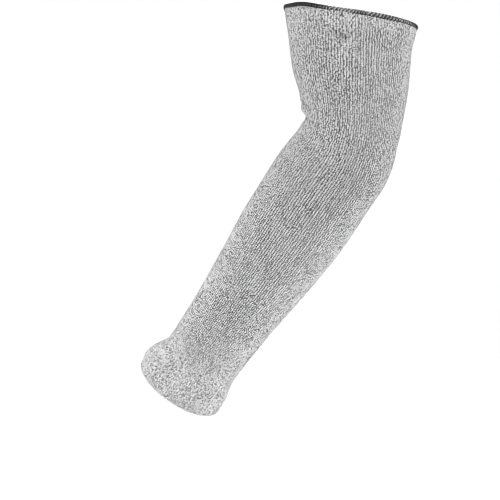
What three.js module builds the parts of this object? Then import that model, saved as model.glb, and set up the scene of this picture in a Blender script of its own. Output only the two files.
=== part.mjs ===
// Cut resistant sleeve: a seamless knit tube that keeps the bent form it is worn in, with a black
// overlocked edge round its top. The wrist end is plain knit that draws in and then flares.
//
// Millimetres. +Z runs up the tube's upper part, towards the overlocked edge, and -Y is the front.
// The origin is the middle of the elbow, where the axes of the upper and lower parts meet.
//
// The one tube is built as three solids end to end, a hair apart, because no straight line leads out
// of the middle of the whole one, and collision pieces can only be opened along straight lines.
import * as THREE from "three";

const degrees = THREE.MathUtils.degToRad;

// Lengths from the middle of the elbow
const UPPER_LENGTH = 109.5;
const LOWER_LENGTH = 299;

// Widths of the tube from its top to its wrist end
const TOP_WIDTH = 116;
const ELBOW_WIDTH = 88;
const FOREARM_WIDTH = 94;
const WAIST_WIDTH = 73;
const CUFF_WIDTH = 86.5;

// Thickness of the knit, and of the thread that binds the top edge
const KNIT_WALL = 1.5;
const BINDING_THICKNESS = 0.9;
const BINDING_HEIGHT = 3.8;
const CLEARANCE = 0.3;

// The elbow: how far the lower part turns, which way it swings about Z, and the bend's radii
const BEND = degrees(41.5);
const SWING = degrees(38.5);
const INNER_RADIUS = 14;
const OUTER_RADIUS = 120;
const RADIUS_GROWTH = 2;

// The top edge drops to the outer side and stands up in one low wave near its inner side
const TOP_SLANT = degrees(8);
const WAVE_HEIGHT = 2.5;
const WAVE_ANGLE = degrees(39);
const WAVE_REACH = degrees(21);

// Sections of the tube. place is -1 at the top edge, 0 at the elbow and 1 at the wrist edge, inner is
// the share of the width on the inner side, and depth is the tube's depth for each unit of width.
const SECTIONS = [
  { place: -1.0, width: TOP_WIDTH, inner: 0.51, depth: 0.9 },
  { place: -0.8, width: 0.94 * TOP_WIDTH, inner: 0.52, depth: 0.91 },
  { place: -0.5, width: 0.88 * TOP_WIDTH, inner: 0.517, depth: 0.93 },
  { place: -0.2, width: 1.01 * ELBOW_WIDTH, inner: 0.504, depth: 0.95 },
  { place: -0.05, width: ELBOW_WIDTH, inner: 0.508, depth: 0.95 },
  { place: 0.12, width: FOREARM_WIDTH, inner: 0.508, depth: 0.95 },
  { place: 0.3, width: FOREARM_WIDTH, inner: 0.49, depth: 0.94 },
  { place: 0.5, width: 0.92 * FOREARM_WIDTH, inner: 0.478, depth: 0.91 },
  { place: 0.7, width: 1.05 * WAIST_WIDTH, inner: 0.483, depth: 0.87 },
  { place: 0.87, width: WAIST_WIDTH, inner: 0.49, depth: 0.84 },
  { place: 0.9, width: 0.89 * CUFF_WIDTH, inner: 0.51, depth: 0.84 },
  { place: 0.93, width: 0.965 * CUFF_WIDTH, inner: 0.523, depth: 0.84 },
  { place: 0.96, width: 1.01 * CUFF_WIDTH, inner: 0.525, depth: 0.84 },
  { place: 1.0, width: CUFF_WIDTH, inner: 0.51, depth: 0.84 },
];

// Folds of the knit, as low hills and creases on the tube. angle is 0 on the inner side and 90 in
// front, along and around are how far a fold reaches, and height is a share of the elbow's width.
const FOLDS = [
  { place: -0.17, angle: 4, along: 0.05, around: 34, height: 0.006 },
  { place: -0.08, angle: 6, along: 0.045, around: 34, height: -0.05 },
];

// The solids of the tube, from place to place, and the gap between one and the next
const JOIN_GAP = 0.3;
const STRETCHES = [
  { name: "upper_sleeve", from: -1.0, to: 0.45 },
  { name: "forearm_sleeve", from: 0.45, to: 0.8 },
  { name: "wrist_sleeve", from: 0.8, to: 1.0 },
];

// Rings of the mesh: how many lie between one place and the next
const AROUND = 48;
const RING_SPANS = [
  { from: -1.0, to: -0.24, rings: 9 },
  { from: -0.24, to: 0.06, rings: 12 },
  { from: 0.06, to: 0.45, rings: 9 },
  { from: 0.45, to: 0.8, rings: 9 },
  { from: 0.8, to: 1.0, rings: 8 },
];

const INWARD = new THREE.Vector3(-Math.cos(SWING), Math.sin(SWING), 0);
const FORWARD = new THREE.Vector3(-Math.sin(SWING), -Math.cos(SWING), 0);
const UP = new THREE.Vector3(0, 0, 1);

// Value of one column of the sections at a place, on a smooth curve that never overshoots its rows
function tabled(column, place) {
  const rows = SECTIONS;
  const last = rows.length - 1;
  const at = THREE.MathUtils.clamp(place, rows[0].place, rows[last].place);
  let row = 0;
  while (row < last - 1 && at > rows[row + 1].place) row += 1;
  const rise = (i) => (rows[i + 1][column] - rows[i][column]) / (rows[i + 1].place - rows[i].place);
  const slope = (i) => {
    if (i === 0 || i === last) return 0;
    const before = rise(i - 1);
    const after = rise(i);
    return before * after > 0 ? (2 * before * after) / (before + after) : 0;
  };
  const step = rows[row + 1].place - rows[row].place;
  const t = (at - rows[row].place) / step;
  const start = (1 + 2 * t) * (1 - t) ** 2 * rows[row][column] + t * (1 - t) ** 2 * step * slope(row);
  const end = t * t * (3 - 2 * t) * rows[row + 1][column] - t * t * (1 - t) * step * slope(row + 1);
  return start + end;
}

// How far two angles lie apart, between minus and plus half a turn
function apart(angle, other) {
  return Math.atan2(Math.sin(angle - other), Math.cos(angle - other));
}

// One point of a section, as its distances to the inner side and to the front of the tube's axis
function outline(place, angle, offset) {
  const width = tabled("width", place);
  const share = tabled("inner", place);
  const side = width * (Math.cos(angle) > 0 ? share : 1 - share) * Math.cos(angle);
  const front = 0.5 * width * tabled("depth", place) * Math.sin(angle);
  let grown = offset;
  for (const fold of FOLDS) {
    const along = (place - fold.place) / fold.along;
    const around = apart(angle, degrees(fold.angle)) / degrees(fold.around);
    grown += fold.height * ELBOW_WIDTH * Math.exp(-(along ** 2) - around ** 2);
  }
  const scale = 1 + grown / Math.hypot(side, front);
  return { side: side * scale, front: front * scale };
}

// The same point in the bend's own plane: its distance towards the bend's centre, and out of the plane
function inBendPlane({ side, front }) {
  return {
    inward: side * Math.cos(SWING) - front * Math.sin(SWING),
    forward: side * Math.sin(SWING) + front * Math.cos(SWING),
  };
}

// The line that runs down the tube at one angle: a straight, an arc round the elbow and a straight
function lineAt(angle) {
  const { inward } = inBendPlane(outline(0, angle, 0));
  const outwardShare = THREE.MathUtils.clamp(0.5 - inward / ELBOW_WIDTH, 0, 1);
  const radius = INNER_RADIUS + (OUTER_RADIUS - INNER_RADIUS) * outwardShare ** RADIUS_GROWTH;
  const tangent = (inward + radius) * Math.tan(BEND / 2);
  const halfArc = (radius * BEND) / 2;
  const wave = WAVE_HEIGHT * Math.exp(-((apart(angle, WAVE_ANGLE) / WAVE_REACH) ** 2));
  const top = UPPER_LENGTH + Math.tan(TOP_SLANT) * outline(-1, angle, 0).side + wave;
  return {
    inward,
    radius,
    tangent,
    halfArc,
    upper: top - tangent + halfArc,
    lower: LOWER_LENGTH - tangent + halfArc,
  };
}

// A point of the tube, offset mm outside its outer surface
function point(place, angle, offset) {
  const line = lineAt(angle);
  const { inward, forward } = inBendPlane(outline(place, angle, offset));
  const length = Math.abs(place) * (place < 0 ? line.upper : line.lower);
  const turned = Math.min(length, line.halfArc) / line.radius;
  const theta = BEND / 2 + Math.sign(place) * turned;
  const straight = Math.sign(place) * Math.max(length - line.halfArc, 0);
  const radial = INWARD.clone().multiplyScalar(Math.cos(theta)).addScaledVector(UP, Math.sin(theta));
  const travel = INWARD.clone().multiplyScalar(Math.sin(theta)).addScaledVector(UP, -Math.cos(theta));
  return INWARD.clone()
    .multiplyScalar(line.inward + line.radius)
    .addScaledVector(UP, line.tangent)
    .addScaledVector(radial, inward - line.inward - line.radius)
    .addScaledVector(FORWARD, forward)
    .addScaledVector(travel, straight);
}

// A loop of points round the tube, where placeAt gives the place for each angle
function loop(placeAt, offset) {
  return Array.from({ length: AROUND }, (_, i) => {
    const angle = (2 * Math.PI * i) / AROUND;
    return point(placeAt(angle), angle, offset);
  });
}

// A closed skin through loops that lead back from the last to the first
function skin(loops) {
  const positions = loops.flat().flatMap((p) => [p.x, p.y, p.z]);
  const index = [];
  for (let i = 0; i < loops.length; i += 1) {
    const here = i * AROUND;
    const next = ((i + 1) % loops.length) * AROUND;
    for (let j = 0; j < AROUND; j += 1) {
      const k = (j + 1) % AROUND;
      index.push(here + j, next + j, next + k, here + j, next + k, here + k);
    }
  }
  const geometry = new THREE.BufferGeometry();
  geometry.setAttribute("position", new THREE.Float32BufferAttribute(positions, 3));
  geometry.setIndex(index);
  geometry.computeVertexNormals();
  return geometry;
}

// Places of the mesh's rings down one stretch of the tube, half a gap short of its neighbours
function ringPlaces({ from, to }) {
  const inside = RING_SPANS.flatMap((span) =>
    Array.from({ length: span.rings }, (_, i) => span.from + ((span.to - span.from) * i) / span.rings),
  ).filter((place) => place > from && place < to);
  const halfGap = JOIN_GAP / 2 / LOWER_LENGTH;
  const start = from > -1 ? from + halfGap : from;
  const end = to < 1 ? to - halfGap : to;
  return [start, ...inside, end];
}

// One stretch of the knit tube: down its outer surface, round its end and back up the inner surface
function knitTube(stretch) {
  const places = ringPlaces(stretch);
  const outer = places.map((place) => loop(() => place, 0));
  const inner = places.reverse().map((place) => loop(() => place, -KNIT_WALL));
  return skin([...outer, ...inner]);
}

// The overlocked edge: a channel of thread that wraps the top of the knit, open downwards
function overlockEdge() {
  const outside = CLEARANCE + BINDING_THICKNESS;
  const inside = -KNIT_WALL - outside;
  const bevel = BINDING_THICKNESS / 2;
  const profile = [
    { offset: CLEARANCE, down: BINDING_HEIGHT },
    { offset: CLEARANCE, down: -CLEARANCE },
    { offset: -KNIT_WALL - CLEARANCE, down: -CLEARANCE },
    { offset: -KNIT_WALL - CLEARANCE, down: BINDING_HEIGHT },
    { offset: inside, down: BINDING_HEIGHT },
    { offset: inside, down: bevel - outside },
    { offset: inside + bevel, down: -outside },
    { offset: outside - bevel, down: -outside },
    { offset: outside, down: bevel - outside },
    { offset: outside, down: BINDING_HEIGHT },
  ];
  return skin(profile.map(({ offset, down }) => loop((angle) => down / lineAt(angle).upper - 1, offset)));
}

function mesh(name, geometry, color, roughness) {
  const material = new THREE.MeshStandardMaterial({ color, roughness, metalness: 0 });
  const piece = new THREE.Mesh(geometry, material);
  piece.name = name;
  return piece;
}

const sleeve = new THREE.Group();
for (const stretch of STRETCHES) sleeve.add(mesh(stretch.name, knitTube(stretch), 0xa9a9a9, 0.9));
sleeve.add(mesh("overlock_edge", overlockEdge(), 0x1c1c1d, 0.8));

export default sleeve;
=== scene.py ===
import math

import bpy
import numpy as np
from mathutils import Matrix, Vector


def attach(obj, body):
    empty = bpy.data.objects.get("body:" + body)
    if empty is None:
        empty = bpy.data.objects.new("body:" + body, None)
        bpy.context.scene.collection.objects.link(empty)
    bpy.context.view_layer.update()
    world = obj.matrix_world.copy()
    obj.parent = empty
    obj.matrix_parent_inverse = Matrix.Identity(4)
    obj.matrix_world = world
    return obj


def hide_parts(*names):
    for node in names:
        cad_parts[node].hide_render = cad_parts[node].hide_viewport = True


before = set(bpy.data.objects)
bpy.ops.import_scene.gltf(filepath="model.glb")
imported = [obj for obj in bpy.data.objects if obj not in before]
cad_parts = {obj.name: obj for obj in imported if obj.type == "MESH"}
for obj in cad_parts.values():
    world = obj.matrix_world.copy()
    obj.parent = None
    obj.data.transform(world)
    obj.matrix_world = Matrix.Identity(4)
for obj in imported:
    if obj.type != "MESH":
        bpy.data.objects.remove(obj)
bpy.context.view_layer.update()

# Driving sizes of the sleeve, in metres, as the model's source has them
MM = 0.001
UPPER_LENGTH = 109.5 * MM
LOWER_LENGTH = 299 * MM
TOP_WIDTH = 116 * MM
ELBOW_WIDTH = 88 * MM
FOREARM_WIDTH = 94 * MM
WAIST_WIDTH = 73 * MM
CUFF_WIDTH = 86.5 * MM
KNIT_WALL = 1.5 * MM
BEND = math.radians(41.5)
SWING = math.radians(38.5)
INNER_RADIUS = 14 * MM
OUTER_RADIUS = 120 * MM
RADIUS_GROWTH = 2
TOP_SLANT = math.radians(8)
WAVE_HEIGHT = 2.5 * MM
WAVE_ANGLE = math.radians(39)
WAVE_REACH = math.radians(21)

# Sections of the tube: place (-1 top edge, 0 elbow, 1 wrist edge), width, the share of the width on
# the inner side, and the depth for each unit of width
SECTIONS = np.array([
    (-1.0, TOP_WIDTH, 0.51, 0.9),
    (-0.8, 0.94 * TOP_WIDTH, 0.52, 0.91),
    (-0.5, 0.88 * TOP_WIDTH, 0.517, 0.93),
    (-0.2, 1.01 * ELBOW_WIDTH, 0.504, 0.95),
    (-0.05, ELBOW_WIDTH, 0.508, 0.95),
    (0.12, FOREARM_WIDTH, 0.508, 0.95),
    (0.3, FOREARM_WIDTH, 0.49, 0.94),
    (0.5, 0.92 * FOREARM_WIDTH, 0.478, 0.91),
    (0.7, 1.05 * WAIST_WIDTH, 0.483, 0.87),
    (0.87, WAIST_WIDTH, 0.49, 0.84),
    (0.9, 0.89 * CUFF_WIDTH, 0.51, 0.84),
    (0.93, 0.965 * CUFF_WIDTH, 0.523, 0.84),
    (0.96, 1.01 * CUFF_WIDTH, 0.525, 0.84),
    (1.0, CUFF_WIDTH, 0.51, 0.84),
])
PLACE, WIDTH, INNER, DEPTH = range(4)

# Folds: place, angle in degrees (0 inner side, 90 front), reach along and around, and height. The model's
# source has the first two. The last two, a crease and the ridge above it, are in the scene alone
FOLDS = [
    (-0.17, 4, 0.05, 34, 0.006 * ELBOW_WIDTH),
    (-0.08, 6, 0.045, 34, -0.05 * ELBOW_WIDTH),
    (-0.197, 18, 0.02, 20, -0.03 * ELBOW_WIDTH),
    (-0.24, 20, 0.028, 26, 0.012 * ELBOW_WIDTH),
]

# The knit: 13 gauge, with columns of stitches (wales) round the tube and rows (courses) down it
WALES = 120
UPPER_COURSES = 61
LOWER_COURSES = 167
COURSES = UPPER_COURSES + LOWER_COURSES
YARN_RISE = 0.6 * MM

# Over the upper arm the wales crowd towards the front by this share, and not below the elbow
CROWDED = 0.11

# On the inner side, in the scene alone, the top edge stands a little higher: height, angle and reach
EDGE_LIFT = 1.9 * MM
LIFT_ANGLE = math.radians(4)
LIFT_REACH = math.radians(16)

INWARD = np.array([-math.cos(SWING), math.sin(SWING), 0.0])
FORWARD = np.array([-math.sin(SWING), -math.cos(SWING), 0.0])
UP = np.array([0.0, 0.0, 1.0])
rng = np.random.default_rng(13)


# The tube's surface

def tabled(column, place):
    """A column of the sections at each place, on a smooth curve that never overshoots its rows."""
    x, y = SECTIONS[:, PLACE], SECTIONS[:, column]
    rise = np.diff(y) / np.diff(x)
    slope = np.zeros(len(x))
    before, after = rise[:-1], rise[1:]
    same = before * after > 0
    total = np.where(same, before + after, 1)
    slope[1:-1] = np.where(same, 2 * before * after / total, 0)
    at = np.clip(place, x[0], x[-1])
    row = np.clip(np.searchsorted(x, at) - 1, 0, len(x) - 2)
    step = x[row + 1] - x[row]
    t = (at - x[row]) / step
    start = (1 + 2 * t) * (1 - t) ** 2 * y[row] + t * (1 - t) ** 2 * step * slope[row]
    end = t * t * (3 - 2 * t) * y[row + 1] - t * t * (1 - t) * step * slope[row + 1]
    return start + end


def apart(angle, other):
    """How far two angles lie apart, between minus and plus half a turn."""
    return np.arctan2(np.sin(angle - other), np.cos(angle - other))


def outline(place, angle, offset):
    """A point of a section, as its distances to the inner side and to the front of the axis."""
    width, share = tabled(WIDTH, place), tabled(INNER, place)
    side = width * np.where(np.cos(angle) > 0, share, 1 - share) * np.cos(angle)
    front = 0.5 * width * tabled(DEPTH, place) * np.sin(angle)
    grown = offset
    for at, middle, along, around, height in FOLDS:
        turned = apart(angle, math.radians(middle)) / math.radians(around)
        grown = grown + height * np.exp(-(((place - at) / along) ** 2 + turned ** 2))
    scale = 1 + grown / np.hypot(side, front)
    return side * scale, front * scale


def in_bend_plane(side, front):
    """The same point as its distance towards the bend's centre, and out of the bend's plane."""
    inward = side * math.cos(SWING) - front * math.sin(SWING)
    forward = side * math.sin(SWING) + front * math.cos(SWING)
    return inward, forward


def line_at(angle):
    """The line down the tube at one angle: its start, its bend and its reach to either end."""
    inward, _ = in_bend_plane(*outline(np.zeros_like(angle), angle, 0))
    outward_share = np.clip(0.5 - inward / ELBOW_WIDTH, 0, 1)
    radius = INNER_RADIUS + (OUTER_RADIUS - INNER_RADIUS) * outward_share ** RADIUS_GROWTH
    tangent = (inward + radius) * math.tan(BEND / 2)
    half_arc = radius * BEND / 2
    wave = WAVE_HEIGHT * np.exp(-(apart(angle, WAVE_ANGLE) / WAVE_REACH) ** 2)
    wave = wave + EDGE_LIFT * np.exp(-(apart(angle, LIFT_ANGLE) / LIFT_REACH) ** 2)
    top = UPPER_LENGTH + math.tan(TOP_SLANT) * outline(-np.ones_like(angle), angle, 0)[0] + wave
    return inward, radius, tangent, half_arc, top - tangent + half_arc, LOWER_LENGTH - tangent + half_arc


def tube(place, angle, offset):
    """Points of the tube, offset metres outside its outer surface."""
    place, angle, offset = np.broadcast_arrays(place, angle, np.asarray(offset, float))
    start, radius, tangent, half_arc, upper, lower = line_at(angle)
    inward, forward = in_bend_plane(*outline(place, angle, offset))
    length = np.abs(place) * np.where(place < 0, upper, lower)
    theta = BEND / 2 + np.sign(place) * np.minimum(length, half_arc) / radius
    straight = np.sign(place) * np.maximum(length - half_arc, 0)
    radial = np.cos(theta)[..., None] * INWARD + np.sin(theta)[..., None] * UP
    travel = np.sin(theta)[..., None] * INWARD - np.cos(theta)[..., None] * UP
    centre = (start + radius)[..., None] * INWARD + tangent[..., None] * UP
    return (
        centre
        + radial * (inward - start - radius)[..., None]
        + FORWARD * forward[..., None]
        + travel * straight[..., None]
    )


def place_of(course):
    """The place along the tube of a course, counted from the top edge."""
    course = np.asarray(course, float)
    return np.where(
        course < UPPER_COURSES, course / UPPER_COURSES - 1, (course - UPPER_COURSES) / LOWER_COURSES
    )


def knit(wale, course, offset):
    """Points of the tube from their wale and course."""
    place = place_of(course)
    angle = 2 * math.pi * np.asarray(wale, float) / WALES
    above = np.clip((0.1 - place) / 0.4, 0, 1)
    crowd = CROWDED * above * above * (3 - 2 * above)
    return tube(place, angle + crowd * np.cos(angle), offset)


# Meshes

def add_piece(name, points, faces, uv=None):
    """A mesh piece from points, quads, and a place on the UV map for each point or each corner."""
    points = np.asarray(points, np.float32).reshape(-1, 3)
    faces = np.asarray(faces, np.int32).reshape(-1, 4)
    mesh = bpy.data.meshes.new(name)
    mesh.vertices.add(len(points))
    mesh.vertices.foreach_set("co", points.ravel())
    mesh.loops.add(faces.size)
    mesh.loops.foreach_set("vertex_index", faces.ravel())
    mesh.polygons.add(len(faces))
    mesh.polygons.foreach_set("loop_start", np.arange(0, faces.size, 4, dtype=np.int32))
    mesh.polygons.foreach_set("loop_total", np.full(len(faces), 4, np.int32))
    mesh.polygons.foreach_set("use_smooth", np.full(len(faces), True))
    if uv is not None:
        uv = np.asarray(uv, np.float32).reshape(-1, 2)
        corners = uv if len(uv) == faces.size else uv[faces.ravel()]
        mesh.uv_layers.new(name="OFBake").data.foreach_set("uv", corners.ravel())
    mesh.update()
    mesh.validate()
    piece = bpy.data.objects.new(name, mesh)
    bpy.context.scene.collection.objects.link(piece)
    return piece


def grid_faces(rows, columns, closed):
    """Quads of a grid of points, whose last column meets its first where closed."""
    across = columns if closed else columns - 1
    i, j = np.meshgrid(np.arange(rows - 1), np.arange(across), indexing="ij")
    k = (j + 1) % columns
    this, after = i * columns, (i + 1) * columns
    return np.stack([this + j, after + j, after + k, this + k], -1).reshape(-1, 4)


def thread(paths, radius, sides=6):
    """Round threads along paths of points (strand, step, xyz), open at their ends: points and quads."""
    paths = np.asarray(paths)
    strands, steps, _ = paths.shape
    ahead = np.gradient(paths, axis=1)
    ahead /= np.linalg.norm(ahead, axis=-1, keepdims=True) + 1e-12
    ref = np.zeros_like(ahead)
    ref[..., 2] = 1.0
    steep = np.abs(ahead[..., 2]) > 0.9
    ref[steep] = (0.0, 1.0, 0.0)
    across = np.cross(ahead, ref)
    across /= np.linalg.norm(across, axis=-1, keepdims=True)
    other = np.cross(ahead, across)
    radius = np.broadcast_to(np.asarray(radius, float), (strands, steps))
    turn = 2 * math.pi * np.arange(sides) / sides
    ring = (
        across[:, :, None, :] * np.cos(turn)[None, None, :, None]
        + other[:, :, None, :] * np.sin(turn)[None, None, :, None]
    )
    points = paths[:, :, None, :] + ring * radius[:, :, None, None]
    faces = grid_faces(steps, sides, closed=True)
    faces = (faces[None] + np.arange(strands)[:, None, None] * steps * sides).reshape(-1, 4)
    return points.reshape(-1, 3), faces


# Camera at the photograph's angle, level with the middle of the sleeve, and its field of view

CAMERA_DISTANCE = 1.6
METRES_PER_PIXEL = 0.88 * MM
FRAME_PIXELS = 500
ORIGIN_PIXEL = (352.0, 142.5)
SENSOR_MM = 36


def add_camera():
    data = bpy.data.cameras.new("camera")
    camera = bpy.data.objects.new("camera", data)
    bpy.context.scene.collection.objects.link(camera)
    centre = FRAME_PIXELS / 2
    right = (centre - ORIGIN_PIXEL[0]) * METRES_PER_PIXEL
    up = (ORIGIN_PIXEL[1] - centre) * METRES_PER_PIXEL
    camera.location = (right, -CAMERA_DISTANCE, up)
    camera.rotation_euler = (math.radians(90), 0, 0)
    data.sensor_width = SENSOR_MM
    data.lens = SENSOR_MM * CAMERA_DISTANCE / (FRAME_PIXELS * METRES_PER_PIXEL)
    data.clip_start, data.clip_end = 0.05, 50
    bpy.context.scene.camera = camera


# Materials

class Nodes:
    """Short calls for a material's nodes."""

    def __init__(self, name):
        self.material = bpy.data.materials.new(name)
        self.material.use_nodes = True
        self.tree = self.material.node_tree
        self.shader = self.tree.nodes["Principled BSDF"]

    def put(self, value, socket):
        if isinstance(value, bpy.types.NodeSocket):
            self.tree.links.new(value, socket)
        else:
            socket.default_value = value

    def math(self, operation, a, b=0.0, clamp=False):
        node = self.tree.nodes.new("ShaderNodeMath")
        node.operation = operation
        node.use_clamp = clamp
        self.put(a, node.inputs[0])
        self.put(b, node.inputs[1])
        return node.outputs[0]

    def gap(self, a, b, times):
        """How far a is above b, times a factor."""
        return self.math("MULTIPLY", self.math("SUBTRACT", a, b), times)

    def ramp(self, value, low, high, to_low=0.0, to_high=1.0):
        node = self.tree.nodes.new("ShaderNodeMapRange")
        node.interpolation_type = "SMOOTHSTEP"
        for socket, number in zip(node.inputs[:5], (value, low, high, to_low, to_high)):
            self.put(number, socket)
        return node.outputs[0]

    def noise(self, vector, scale, detail=2.0):
        node = self.tree.nodes.new("ShaderNodeTexNoise")
        node.inputs["Scale"].default_value = scale
        node.inputs["Detail"].default_value = detail
        self.put(vector, node.inputs["Vector"])
        return node.outputs["Fac"]

    def white(self, vector):
        node = self.tree.nodes.new("ShaderNodeTexWhiteNoise")
        node.noise_dimensions = "3D"
        self.put(vector, node.inputs["Vector"])
        return node.outputs["Value"]

    def vector(self, x, y, z=0.0):
        node = self.tree.nodes.new("ShaderNodeCombineXYZ")
        for socket, value in zip(node.inputs, (x, y, z)):
            self.put(value, socket)
        return node.outputs[0]

    def uv(self):
        node = self.tree.nodes.new("ShaderNodeUVMap")
        node.uv_map = "OFBake"
        split = self.tree.nodes.new("ShaderNodeSeparateXYZ")
        self.tree.links.new(node.outputs["UV"], split.inputs[0])
        return split.outputs[0], split.outputs[1]

    def place(self):
        return self.tree.nodes.new("ShaderNodeTexCoord").outputs["Object"]

    def height(self):
        split = self.tree.nodes.new("ShaderNodeSeparateXYZ")
        self.tree.links.new(self.place(), split.inputs[0])
        return split.outputs[2]

    def index(self):
        return self.tree.nodes.new("ShaderNodeObjectInfo").outputs["Object Index"]

    def grey(self, value):
        return self.vector(value, value, value)

    def bump(self, height, strength, distance):
        node = self.tree.nodes.new("ShaderNodeBump")
        node.inputs["Strength"].default_value = strength
        node.inputs["Distance"].default_value = distance
        self.put(height, node.inputs["Height"])
        self.put(node.outputs["Normal"], self.shader.inputs["Normal"])


# Whiteness of the light and the dark ply at the wrist, and stretched thin above the elbow
LIGHT_PLY, DARK_PLY = 0.81, 0.03
LIGHT_STRETCHED, DARK_STRETCHED = 0.6, 0.06

# The tone at which both plies show alike, how sharply one gives way to the other below and above the
# elbow, and how far a leg's tone there turns away from that of the next leg
TONE_MIDDLE = 0.69
CONTRAST, CONTRAST_STRETCHED = 2.0, 2.2
UNLIKE_NEXT = 0.35

# How much the runs along a course, the twist of the plies and the single fibres add to the tone
RUN_SHARE, TWIST_SHARE, FIBRE_SHARE = 0.2, 1.4, 0.6

# Noise scales for each metre: slow drift round the tube, patches of shut grooves with less painted shade,
# fibres and relief
DRIFT_SCALE, PATCH_SCALE, FIBRE_SCALE, RELIEF_SCALE = 9, 16, 1700, 2500

# Heights from and to which the plies' whiteness, their contrast, the grooves' painted shade and the strands
# across them change, and between which the grooves close near the wrist and near the top
PLIES_CHANGE = (-0.14, 0.02)
CONTRAST_CHANGES = (-0.08, 0.02)
GROOVE_CHANGES = (-0.1, 0.02)
CROSSING_STARTS = (-0.06, 0.03)
WRIST_SHUTS = (-0.19, -0.14)
TOP_SHUTS = (0.088, 0.102)

# Painted shade in the grooves: how much of the yarn's whiteness is left between two loops and on one, and
# how much each kind of closing lightens it
SHADE_AMID_LOOPS, SHADE_OVER_LOOP = 0.45, 0.03
SHUT_AT_WRIST, SHUT_AT_TOP, SHUT_IN_PATCH, SHUT_ABOVE, SHUT_BY_STRAND = 0.17, 0.1, 0.06, 0.06, 0.35


def marl_shade(n, leg, course):
    """Whiteness of the yarn. A dark and a light ply are twisted together, so that each half course of a
    leg shows more of the one or of the other, and short dark runs lie along a course."""
    height = n.height()
    row, column = n.math("FLOOR", course), n.math("FLOOR", leg)
    drift = n.math("MULTIPLY", n.noise(n.place(), DRIFT_SCALE, 1.0), 4.0)
    chance = n.math("ADD", n.white(n.vector(column, row, n.index())), drift)
    lane = n.vector(n.math("MULTIPLY", column, 0.15), n.math("MULTIPLY", row, 3.7), drift)
    run = n.noise(lane, 1.0, 0.0)
    fibre = n.noise(n.place(), FIBRE_SCALE, 3.0)
    shift = n.math("ADD", n.white(n.vector(column, 3.0)), fibre)
    strand = n.math("FLOOR", n.math("ADD", n.math("MULTIPLY", course, 2.0), shift))
    own = n.white(n.vector(column, strand, n.index()))
    beyond = n.white(n.vector(n.math("ADD", column, 1.0), strand, n.index()))
    unlike = n.ramp(height, *CONTRAST_CHANGES, 0.0, UNLIKE_NEXT)
    tone = n.math("ADD", own, n.gap(0.5, beyond, unlike))
    tone = n.math("ADD", tone, n.gap(run, 0.5, RUN_SHARE))
    twist = n.math("ADD", n.math("MULTIPLY", n.math("FRACT", leg), 0.5), n.math("FRACT", course))
    turn = n.math("FRACT", n.math("ADD", twist, chance))
    off_dark = n.math("ABSOLUTE", n.math("SUBTRACT", turn, 0.5))
    contrast = n.ramp(height, *CONTRAST_CHANGES, CONTRAST, CONTRAST_STRETCHED)
    amount = n.gap(tone, TONE_MIDDLE, contrast)
    amount = n.math("ADD", amount, n.gap(0.25, off_dark, TWIST_SHARE))
    amount = n.math("ADD", amount, n.gap(fibre, 0.5, FIBRE_SHARE))
    amount = n.math("ADD", amount, 0.5, clamp=True)
    light = n.ramp(height, *PLIES_CHANGE, LIGHT_PLY, LIGHT_STRETCHED)
    dark = n.ramp(height, *PLIES_CHANGE, DARK_PLY, DARK_STRETCHED)
    return n.math("ADD", light, n.math("MULTIPLY", amount, n.math("SUBTRACT", dark, light)))


def groove_painted_shade(n, leg, course):
    """Painted shade in the grooves between the legs: how much of the yarn's whiteness is left there."""
    height = n.height()
    row, wale = n.math("FLOOR", course), n.math("FLOOR", n.math("MULTIPLY", leg, 0.5))
    off_middle = n.math("ABSOLUTE", n.math("SUBTRACT", n.math("FRACT", course), 0.5))
    bar = n.ramp(off_middle, 0.14, 0.3, SHADE_AMID_LOOPS, SHADE_OVER_LOOP)
    wrist = n.ramp(height, *WRIST_SHUTS, SHUT_AT_WRIST, 0.0)
    shut = n.math("ADD", wrist, n.ramp(height, *TOP_SHUTS, 0.0, SHUT_AT_TOP))
    patch = n.noise(n.place(), PATCH_SCALE, 1.0)
    shut = n.math("ADD", shut, n.ramp(patch, 0.45, 0.62, 0.0, SHUT_IN_PATCH))
    shut = n.math("ADD", shut, n.ramp(height, *GROOVE_CHANGES, 0.0, SHUT_ABOVE))
    crossed = n.ramp(n.white(n.vector(wale, row, 5.0)), 0.4, 0.8, 0.0, SHUT_BY_STRAND)
    shut = n.math("ADD", shut, n.math("MULTIPLY", crossed, n.ramp(height, *CROSSING_STARTS)))
    return n.math("ADD", bar, shut, clamp=True)


def marl(name, legs_on_map, courses_on_map, in_groove=False):
    """Grey marl yarn. Where it lies behind the stitches, painted shade darkens the grooves and the hollows
    between the purl rows on the reverse of the knit.
    """
    n = Nodes(name)
    u, v = n.uv()
    leg = n.math("MULTIPLY", u, legs_on_map)
    course = n.math("MULTIPLY", v, courses_on_map)
    value = marl_shade(n, leg, course)
    relief = n.noise(n.place(), RELIEF_SCALE, 2.0)
    if in_groove:
        # The upper half of the map is the inside of the tube, with its rows of purl loops, and painted
        # shade darkens the hollows between the rows
        inside = n.ramp(v, 0.4995, 0.5005)
        sway = n.math("MULTIPLY", n.math("COSINE", n.math("MULTIPLY", leg, math.pi)), 0.22)
        purl = n.math("COSINE", n.math("MULTIPLY", n.math("ADD", course, sway), 2 * math.pi))
        reverse = n.math("MULTIPLY", inside, n.ramp(purl, -1.0, 0.2, 0.35, 0.95))
        # Painted shade: the grooves and the hollows between the purl rows keep only a share of the yarn's
        # whiteness
        value = n.math("MULTIPLY", value, n.math("MAXIMUM", groove_painted_shade(n, leg, course), reverse))
        relief = n.math("ADD", relief, n.math("MULTIPLY", n.math("MULTIPLY", inside, purl), 1.2))
    n.put(n.grey(value), n.shader.inputs["Base Color"])
    n.shader.inputs["Roughness"].default_value = 0.92
    n.shader.inputs["Specular IOR Level"].default_value = 0.15
    n.shader.inputs["Sheen Weight"].default_value = 0.12
    n.shader.inputs["Sheen Roughness"].default_value = 0.6
    n.bump(relief, 0.5, 0.15 * MM)
    return n.material


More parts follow.
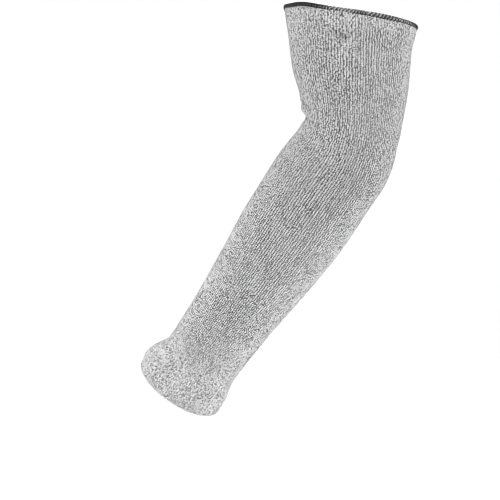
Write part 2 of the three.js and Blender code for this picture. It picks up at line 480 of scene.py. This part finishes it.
def loose_fibre():
    n = Nodes("loose_fibre")
    shade = n.ramp(n.noise(n.place(), 900, 1.0), 0.4, 0.6, 0.35, 0.85)
    n.put(n.grey(shade), n.shader.inputs["Base Color"])
    n.shader.inputs["Roughness"].default_value = 0.9
    n.shader.inputs["Specular IOR Level"].default_value = 0.15
    return n.material


def black_thread():
    n = Nodes("black_thread")
    fibre = n.noise(n.place(), 1800, 3.0)
    n.put(n.grey(n.ramp(fibre, 0.3, 0.75, 0.006, 0.03)), n.shader.inputs["Base Color"])
    n.shader.inputs["Roughness"].default_value = 0.75
    n.shader.inputs["Specular IOR Level"].default_value = 0.3
    n.shader.inputs["Sheen Weight"].default_value = 0.1
    n.bump(fibre, 0.6, 0.15 * MM)
    return n.material


def pale_floor():
    n = Nodes("pale_floor")
    n.shader.inputs["Base Color"].default_value = (0.96, 0.96, 0.96, 1)
    n.shader.inputs["Roughness"].default_value = 0.9
    n.shader.inputs["Specular IOR Level"].default_value = 0.0
    return n.material


# The knit

BODY_COLUMNS = 2 * WALES
BODY_ROWS = 190
INSIDE_ROWS = 150


def knit_body(material):
    """The tube behind the stitches: the floor of the grooves outside and the reverse of the knit inside."""
    half = COURSES // 2
    outer_rows = np.concatenate([
        np.linspace(0, half, BODY_ROWS // 2, endpoint=False),
        np.linspace(half, COURSES, BODY_ROWS // 2),
    ])
    inner_rows = np.concatenate([
        np.linspace(COURSES, half, INSIDE_ROWS // 2, endpoint=False),
        np.linspace(half, 0, INSIDE_ROWS // 2),
    ])
    wales = np.arange(BODY_COLUMNS) * WALES / BODY_COLUMNS
    outer = knit(wales[None], outer_rows[:, None], -YARN_RISE)
    inner = knit(wales[None], inner_rows[:, None], -KNIT_WALL)
    points = np.concatenate([outer, inner])
    rows = len(points)
    i, j = np.meshgrid(np.arange(rows), np.arange(BODY_COLUMNS), indexing="ij")
    below, beside = (i + 1) % rows, (j + 1) % BODY_COLUMNS
    corners = [(i, j), (below, j), (below, beside), (i, beside)]
    faces = np.stack([row * BODY_COLUMNS + column for row, column in corners], -1).reshape(-1, 4)
    row_course = np.concatenate([outer_rows, inner_rows])
    start, end = row_course[i], row_course[below]
    inside = i >= len(outer_rows)
    low = np.minimum(start, end) >= half
    uv = []
    for k, down in enumerate((start, end, end, start)):
        u = (j + (k > 1)) / BODY_COLUMNS
        v = np.clip((down - half * low) / half, 0.002, 0.998)
        uv.append(np.stack([(u + low) / 2, (v + inside) / 2], -1))
    body = add_piece("knit_body", points, faces, np.stack(uv, -2))
    body.data.materials.append(material)
    return body


# One leg of a stitch: how far it has gone, its distance from the wale's middle and its half width as
# shares of the wale's pitch, and its height as a share of the yarn's rise
LEG = np.array([
    (0.0, 0.11, 0.09, 0.25),
    (0.3, 0.14, 0.13, 1.0),
    (0.7, 0.20, 0.13, 0.95),
    (1.0, 0.25, 0.09, 0.2),
])
LEG_GONE, LEG_SIDE, LEG_HALF, LEG_HEIGHT = range(4)
LEG_COURSES = 1.4
QUARTERS = 4

# Near both ends the knit isn't stretched, so its wales close up over this many courses from the top and
# from the wrist, and their legs get wider
CLOSED_TOP, CLOSED_WRIST = 8, 46
CLOSED_WIDER = 1.25
CLOSED_SOONER = 1.6

# How much one leg differs from the next: in place across and along the wale, in width and in height
ACROSS_VARIES, ALONG_VARIES, WIDTH_VARIES, HEIGHT_VARIES = 0.08, 0.06, 0.12, 0.12


def closed(course):
    """1 where the wales have closed up, 0 where they are stretched apart."""
    top = 1 - course / CLOSED_TOP
    wrist = 1 - (COURSES - course) / CLOSED_WRIST
    near = np.clip(np.maximum(top, wrist) * CLOSED_SOONER, 0, 1)
    return near * near * (3 - 2 * near)


def knit_face(quarter, material):
    """The legs of every stitch in one quarter round the tube, as raised yarn in columns of Vs."""
    per_quarter = WALES // QUARTERS
    course, wale, hand = np.meshgrid(
        np.arange(COURSES), np.arange(per_quarter) + quarter * per_quarter, (-1, 1), indexing="ij"
    )
    course, wale, hand = (x.ravel()[:, None, None] for x in (course, wale, hand))
    count = len(course)
    jitter = rng.normal(0, 1, (4, count, 1, 1))
    scale = 1 + (CLOSED_WIDER - 1) * closed(course)
    gone = LEG[None, :, LEG_GONE, None]
    across = np.array([-1.0, 0.0, 1.0])[None, None, :]
    middle = hand * LEG[None, :, LEG_SIDE, None] * (1 + ACROSS_VARIES * jitter[0])
    side = middle + across * LEG[None, :, LEG_HALF, None] * (1 + WIDTH_VARIES * jitter[1])
    along = course + 0.5 + LEG_COURSES * (gone - 0.5) + ALONG_VARIES * jitter[3]
    crest = LEG[None, :, LEG_HEIGHT, None] * (1 + HEIGHT_VARIES * jitter[2])
    height = np.where(across == 0, crest, -0.12)
    along = np.clip(along, 0.05, COURSES - 0.05)
    points = knit(wale + 0.5 + side * scale, along, (height - 1) * YARN_RISE)
    faces = grid_faces(len(LEG), 3, closed=False)
    faces = (faces[None] + np.arange(count)[:, None, None] * len(LEG) * 3).reshape(-1, 4)
    half = COURSES // 2
    lower = course >= half
    leg = (wale - quarter * per_quarter) * 2 + (hand > 0) + 0.5 + 0.46 * across
    u = np.broadcast_to((leg / (2 * per_quarter) + lower) / 2, (count, len(LEG), 3))
    v = np.broadcast_to((course - half * lower + 0.02 + 0.96 * gone) / half, (count, len(LEG), 3))
    piece = add_piece(f"knit_face_{quarter + 1}", points, faces, np.stack([u, v], -1))
    piece.data.materials.append(material)
    piece.pass_index = quarter
    return piece


# The chain at the wrist end: steps for each loop, radius, sway in courses and in millimetres, and depth
EDGE_STEPS = 8
EDGE_RADIUS = 0.42 * MM
EDGE_SWAY = 0.3
EDGE_DEPTH = 0.65 * MM


def wrist_edge(material):
    """The last course, a chain of shut loops that rounds off the wrist end."""
    steps = np.linspace(0, WALES, EDGE_STEPS * WALES + 1)
    turn = 2 * math.pi * steps
    path = knit(steps, COURSES - 0.1 + EDGE_SWAY * np.cos(turn), EDGE_SWAY * np.sin(turn) * MM - EDGE_DEPTH)
    sides = 6
    points, faces = thread(path[None], EDGE_RADIUS, sides)
    along = faces // sides / (len(steps) - 1)
    across = faces % sides / sides
    across[(faces % sides == 0) & ((faces % sides).max(axis=1, keepdims=True) == sides - 1)] = 1
    piece = add_piece("wrist_edge", points, faces, np.stack([across, along], -1))
    piece.data.materials.append(material)
    piece.pass_index = QUARTERS
    return piece


# Loose fibres, as many as fill a square map
FIBRES = 116 ** 2
FIBRE_WIDTH = 0.07 * MM


def knit_fuzz(material):
    """Short loose fibres that stand off the yarn and soften the outline."""
    wale, course = rng.uniform(0, WALES, FIBRES), rng.uniform(0.5, COURSES - 0.5, FIBRES)
    lean = rng.uniform(0, 2 * math.pi, FIBRES)
    reach = rng.uniform(0.3, 1.0, FIBRES)
    lift = rng.uniform(0.2, 1.0, FIBRES) * MM
    tip = lift * rng.uniform(0.5, 1.1, FIBRES)
    spine = []
    for step, offset in ((0, -0.2 * MM), (0.6, 0.7 * lift), (1.0, tip)):
        down = np.clip(course + step * reach * np.sin(lean), 0, COURSES)
        spine.append(knit(wale + step * reach * np.cos(lean), down, offset))
    spine = np.stack(spine, axis=1)
    across = np.cross(spine[:, 2] - spine[:, 0], rng.normal(size=(FIBRES, 3)))
    across /= np.linalg.norm(across, axis=-1, keepdims=True)
    half = across[:, None] * (np.array([1.0, 0.8, 0.3]) * FIBRE_WIDTH / 2)[None, :, None]
    points = np.stack([spine - half, spine + half], axis=2)
    faces = grid_faces(3, 2, closed=False)
    faces = (faces[None] + np.arange(FIBRES)[:, None, None] * 6).reshape(-1, 4)
    cell = round(math.sqrt(FIBRES))
    corner = np.stack([np.arange(FIBRES) % cell, np.arange(FIBRES) // cell], -1)[:, None, None]
    spot = np.stack(np.meshgrid([0.1, 0.9], [0.1, 0.5, 0.9]), -1)
    piece = add_piece("knit_fuzz", points, faces, (corner + spot) / cell)
    piece.data.materials.append(material)
    return piece


# The overlocked edge, from angle to angle in degrees: pitch of its stitches, how far they reach down,
# and the radii of the thread that leads up, the one that leads back and the lines above and below
SEAM = np.array([
    (-180, 3.0, 2.6, 0.42, 0.20, 0.24),
    (-60, 3.0, 2.6, 0.42, 0.20, 0.24),
    (-20, 1.6, 1.7, 0.46, 0.40, 0.30),
    (5, 1.5, 1.7, 0.48, 0.42, 0.30),
    (22, 1.5, 2.3, 0.50, 0.42, 0.30),
    (56, 1.5, 2.4, 0.50, 0.42, 0.30),
    (62, 2.4, 2.3, 0.50, 0.20, 0.20),
    (66, 3.1, 2.3, 0.48, 0.00, 0.08),
    (86, 3.1, 2.3, 0.48, 0.00, 0.08),
    (89, 2.4, 2.5, 0.50, 0.30, 0.20),
    (97, 2.4, 2.5, 0.50, 0.30, 0.20),
    (98, 3.4, 2.0, 0.36, 0.00, 0.08),
    (99, 3.3, 2.8, 0.66, 0.10, 0.20),
    (126, 3.3, 2.8, 0.66, 0.10, 0.20),
    (130, 3.2, 2.6, 0.40, 0.00, 0.20),
    (180, 3.0, 2.6, 0.42, 0.20, 0.24),
])
SEAM_ANGLE, SEAM_PITCH, SEAM_DEPTH, SEAM_OVER, SEAM_BACK, SEAM_LINE = range(6)

# The looper's way over the edge: share of the pitch, share of the depth, and offset from the knit
OVER_EDGE = np.array([
    (0.0, 1.0, 0.3 * MM),
    (0.2, 0.7, 0.7 * MM),
    (0.45, 0.3, 0.75 * MM),
    (0.65, 0.0, 0.6 * MM),
    (0.75, -0.2, 0.0 * MM),
    (0.8, -0.24, -0.75 * MM),
    (0.85, -0.2, -1.5 * MM),
    (0.88, 0.0, -2.0 * MM),
    (0.92, 0.4, -2.2 * MM),
    (0.96, 0.9, -2.0 * MM),
    (0.98, 1.0, -0.8 * MM),
])


def seam(column, angle):
    """One value of the seam at an angle in radians."""
    return np.interp(np.degrees(angle), SEAM[:, SEAM_ANGLE], SEAM[:, column])


def stitch_angles():
    """The angle of each overlock stitch."""
    angles, angle = [], -math.pi
    round_tube = TOP_WIDTH * 0.95 / 2
    while angle < math.pi:
        angles.append(angle)
        angle += seam(SEAM_PITCH, angle) * MM * (1 + 0.1 * rng.normal()) / round_tube
    return np.array(angles[:-1])


def on_edge(angle, down, offset):
    """Points at an angle, down below the top edge of the knit."""
    upper = line_at(angle)[4]
    return tube(down / upper - 1, angle, offset)


def overlock(material):
    start = stitch_angles()
    pitch = np.diff(np.append(start, start[0] + 2 * math.pi))[:, None]
    step, share, offset = (OVER_EDGE[:, k][None] for k in range(3))
    depth = (seam(SEAM_DEPTH, start) * MM * (1 + 0.06 * rng.normal(size=len(start))))[:, None]
    over = on_edge(start[:, None] + pitch * step, depth * share, offset + 0 * depth)
    back = on_edge(start[:, None] + pitch * (1.6 - step), depth * share, 0.8 * offset + 0 * depth)
    fine = np.linspace(0, 2 * math.pi, 12 * len(start)) + start[0]
    phase = np.interp(fine, start, np.arange(len(start)))
    lower = seam(SEAM_DEPTH, fine) * MM
    needle = on_edge(fine, lower, (0.15 + 0.4 * np.abs(np.sin(math.pi * phase))) * MM)
    rim = on_edge(
        fine,
        (-0.5 + 0.15 * np.cos(2 * math.pi * phase)) * MM,
        (-0.1 + 0.3 * np.sin(2 * math.pi * phase)) * MM,
    )
    back_radius = np.repeat(seam(SEAM_BACK, start) * MM, len(OVER_EDGE))
    over_radius = np.repeat(seam(SEAM_OVER, start) * MM, len(OVER_EDGE))
    line_radius = seam(SEAM_LINE, fine) * MM
    parts = [
        thread(over.reshape(1, -1, 3), over_radius),
        thread(back.reshape(1, -1, 3), back_radius),
        thread(needle[None], line_radius),
        thread(rim[None], line_radius),
    ]
    points, faces, count = [], [], 0
    for part_points, part_faces in parts:
        points.append(part_points)
        faces.append(part_faces + count)
        count += len(part_points)
    piece = add_piece("overlock_threads", np.concatenate(points), np.concatenate(faces))
    piece.data.materials.append(material)
    return piece


# Floor and light

FLOOR_Z = -0.36
FLOOR_RADIUS = 4.0
SWEEP_RADIUS = 1.2
WALL_TOP = 2.6


def studio_floor():
    """A pale round floor that sweeps up into a wall, so that no edge shows behind the part."""
    turns = np.linspace(0, math.pi / 2, 14)
    sweep = FLOOR_RADIUS + SWEEP_RADIUS * np.sin(turns)
    radius = np.concatenate([[0.001], sweep, [FLOOR_RADIUS + SWEEP_RADIUS]])
    height = np.concatenate([[0], SWEEP_RADIUS * (1 - np.cos(turns)), [WALL_TOP]]) + FLOOR_Z
    around = np.linspace(0, 2 * math.pi, 96, endpoint=False)
    points = np.stack([
        radius[:, None] * np.cos(around),
        radius[:, None] * np.sin(around),
        np.broadcast_to(height[:, None], (len(radius), len(around))),
    ], -1)
    faces = grid_faces(len(radius), len(around), closed=True)[:, ::-1]
    floor = add_piece("studio_floor", points, faces)
    floor.data.materials.append(pale_floor())


# Soft square lights: name, place, side in metres and power in watts, all aimed at the part's middle
LIGHTS = [
    ("key_light", (-0.9, -1.7, 1.2), 1.0, 11),
    ("fill_light", (1.6, -1.3, 0.5), 1.2, 7),
    ("low_light", (0.1, -1.7, -0.3), 1.0, 11),
]
PART_MIDDLE = (-0.07, 0.05, -0.07)
WORLD_STRENGTH = 1.06


def add_softbox(name, location, size, power):
    data = bpy.data.lights.new(name, "AREA")
    data.shape = "SQUARE"
    data.size = size
    data.energy = power
    light = bpy.data.objects.new(name, data)
    light.location = location
    aim = np.array(PART_MIDDLE) - np.array(location)
    light.rotation_euler = Vector(aim).to_track_quat("-Z", "Y").to_euler()
    bpy.context.scene.collection.objects.link(light)


def add_light():
    world = bpy.data.worlds.new("studio")
    world.use_nodes = True
    background = world.node_tree.nodes["Background"]
    background.inputs["Color"].default_value = (1, 1, 1, 1)
    background.inputs["Strength"].default_value = WORLD_STRENGTH
    bpy.context.scene.world = world
    for light in LIGHTS:
        add_softbox(*light)
    scene = bpy.context.scene
    scene.cycles.filter_width = 1.0
    scene.view_settings.view_transform = "Standard"
    scene.view_settings.look = "None"
    scene.view_settings.exposure = 0
    scene.view_settings.gamma = 1


add_camera()
# The tube behind the stitches carries painted shade in its grooves and between the purl rows inside
body = knit_body(marl("painted_shade_marl", 4 * WALES, COURSES, in_groove=True))
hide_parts("upper_sleeve", "forearm_sleeve", "wrist_sleeve")
face_material = marl("marl_yarn", 4 * WALES // QUARTERS, COURSES // 2)
faces = [knit_face(quarter, face_material) for quarter in range(QUARTERS)]
edge = wrist_edge(marl("marl_edge", 2, 2 * WALES))
fuzz = knit_fuzz(loose_fibre())
for piece in [body, *faces, edge, fuzz]:
    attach(piece, "root")
threads = overlock(black_thread())
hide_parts("overlock_edge")
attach(threads, "root")
studio_floor()
add_light()
